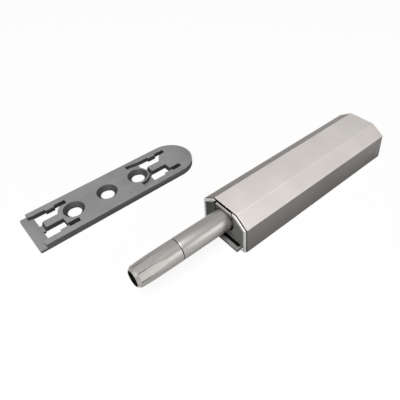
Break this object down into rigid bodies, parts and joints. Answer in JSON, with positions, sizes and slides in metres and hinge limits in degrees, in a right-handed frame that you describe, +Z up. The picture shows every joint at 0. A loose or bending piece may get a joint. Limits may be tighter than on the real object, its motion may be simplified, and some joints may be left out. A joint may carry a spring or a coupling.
{
  "type": "push to open catch",
  "caption": "Surface-mounted push to open catch with a long sprung plunger, magnet tip, heart-track latch and screw-on mounting plate.",
  "frame": {"origin": "middle of the socket mouth under the housing, level with the surface that the housing and the plate lie on", "axes": "+Y along the plunger towards the back of the housing, so the plunger points to -Y; +Z up out of the housing's flat top; +X to the housing's right side seen from the plunger"},
  "size_m": [0.0663, 0.1292, 0.014],
  "materials": {
    "nickel_cover": "satin nickel",
    "nickel_cap": "satin nickel",
    "nickel_plunger": "satin nickel",
    "cartridge_grey": "fine matt",
    "grey_plastic": "moulded matt",
    "track_plastic": "natural acetal",
    "screw_steel": "zinc plated",
    "spring_steel": "drawn wire",
    "insert_brass": "turned",
    "black_rubber": "matt",
    "magnet_black": "sintered matt",
    "plate_grey": "fine matt"
  },
  "bodies": {
    "housing": {"housing_cover": "nickel_cover", "front_cap": "nickel_cap", "chassis": "grey_plastic", "chassis_screw_1": "screw_steel", "chassis_screw_2": "screw_steel", "chassis_screw_3": "screw_steel", "chassis_screw_4": "screw_steel", "release_spring": "spring_steel", "cartridge_nose": "cartridge_grey", "cartridge_body": "grey_plastic", "cam_plate": "track_plastic", "rear_plug": "grey_plastic", "guide_rod": "screw_steel", "rear_buffer": "black_rubber", "main_spring": "spring_steel", "mounting_plate": "plate_grey"},
    "plunger": {"plunger_tube": "nickel_plunger", "carriage": "track_plastic", "follower_spring": "spring_steel", "tip_insert": "insert_brass", "seam_washer": "black_rubber"},
    "follower": {"follower_pin": "spring_steel"},
    "stud": {"tip_stud": "screw_steel"},
    "tip": {"plunger_tip": "nickel_plunger", "tip_magnet": "magnet_black"},
    "release": {"release_slider": "nickel_cap"}
  },
  "joints": [
    {"name": "plunger_slide", "type": "slide", "parent": "housing", "child": "plunger", "axis": [0, 1, 0], "range_m": [0, 0.0346], "stiffness_N_per_m": 60, "springref_m": -0.01, "deforming": ["main_spring"]},
    {"name": "follower_swing", "type": "hinge", "parent": "plunger", "child": "follower", "pos_m": [-0.0024, -0.01585, 0.0114], "axis": [0, 0, -1], "range_deg": [0, 10], "stiffness_Nm_per_rad": 0.0002},
    {"name": "tip_advance", "type": "slide", "parent": "plunger", "child": "stud", "axis": [0, -1, 0], "range_m": [0, 0.005]},
    {"name": "tip_turn", "type": "hinge", "parent": "stud", "child": "tip", "pos_m": [0, -0.0602, 0.0085], "axis": [0, 1, 0], "range_deg": [0, 1800]},
    {"name": "release_push", "type": "slide", "parent": "housing", "child": "release", "axis": [0, 1, 0], "range_m": [0, 0.0012], "stiffness_N_per_m": 400, "deforming": ["release_spring"]}
  ],
  "couplings": [
    {"joint": "tip_turn", "follows": "tip_advance", "rad_per_m": 6283.2}
  ]
}
